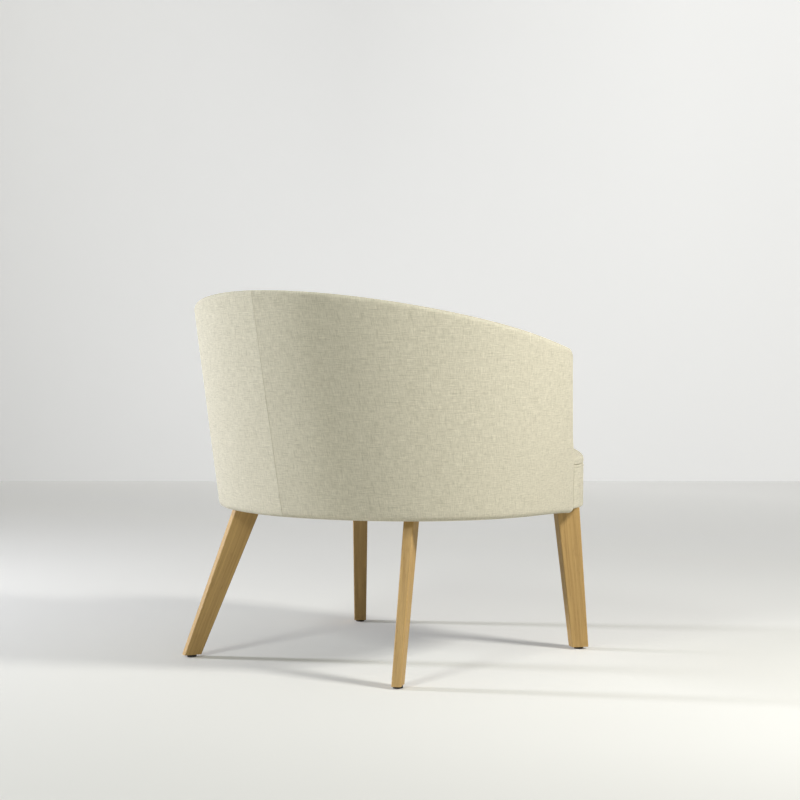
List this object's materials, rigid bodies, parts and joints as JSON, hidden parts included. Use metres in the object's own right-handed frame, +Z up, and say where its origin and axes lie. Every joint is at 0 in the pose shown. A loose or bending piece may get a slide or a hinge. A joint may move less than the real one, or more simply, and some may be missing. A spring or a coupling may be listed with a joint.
{
  "type": "lounge chair",
  "caption": "Lounge chair with a fabric tub back whose rim slopes down to the arms, a crowned seat and splayed, tapered oak legs on small black glides.",
  "frame": {"origin": "on the floor, under the middle of the chair's bounding box", "axes": "+Z up; the sitter faces -Y; +X is the sitter's left"},
  "size_m": [0.7687, 0.7178, 0.7243],
  "materials": {
    "fabric": "matte woven upholstery cloth with a linen-like slub",
    "foam": "open-cell upholstery foam",
    "oak": "clear oiled oak",
    "plywood": "bare bent plywood",
    "beech": "bare beech",
    "webbing": "woven elastic",
    "dust_cloth": "thin non-woven cloth",
    "black_steel": "black powder coat",
    "zinc_steel": "zinc plated",
    "black_plastic": "moulded"
  },
  "bodies": {
    "root": {"outer_cover_left": "fabric", "outer_cover_right": "fabric", "inner_cover": "fabric", "back_foam": "foam", "plywood_shell": "plywood", "tub_base_rail": "beech", "seat_border": "fabric", "seat_top_cover": "fabric", "seat_foam": "foam", "frame_rail_front": "beech", "frame_rail_rear": "beech", "frame_rail_left": "beech", "frame_rail_right": "beech", "corner_block_rear_left": "beech", "corner_block_rear_right": "beech", "corner_block_front_left": "beech", "corner_block_front_right": "beech", "webbing_lengthwise_1": "webbing", "webbing_lengthwise_2": "webbing", "webbing_lengthwise_3": "webbing", "webbing_lengthwise_4": "webbing", "webbing_crosswise_1": "webbing", "webbing_crosswise_2": "webbing", "webbing_crosswise_3": "webbing", "webbing_crosswise_4": "webbing", "dust_cloth": "dust_cloth", "tub_screws": "zinc_steel", "leg_rear_left": "oak", "leg_rear_right": "oak", "leg_front_left": "oak", "leg_front_right": "oak", "leg_plate_rear_left": "black_steel", "leg_plate_rear_right": "black_steel", "leg_plate_front_left": "black_steel", "leg_plate_front_right": "black_steel", "glide_rear_left": "black_plastic", "glide_rear_right": "black_plastic", "glide_front_left": "black_plastic", "glide_front_right": "black_plastic", "leg_bolts": "zinc_steel", "leg_inserts": "zinc_steel", "plate_screws": "zinc_steel", "glide_pins": "zinc_steel"}
  },
  "joints": []
}
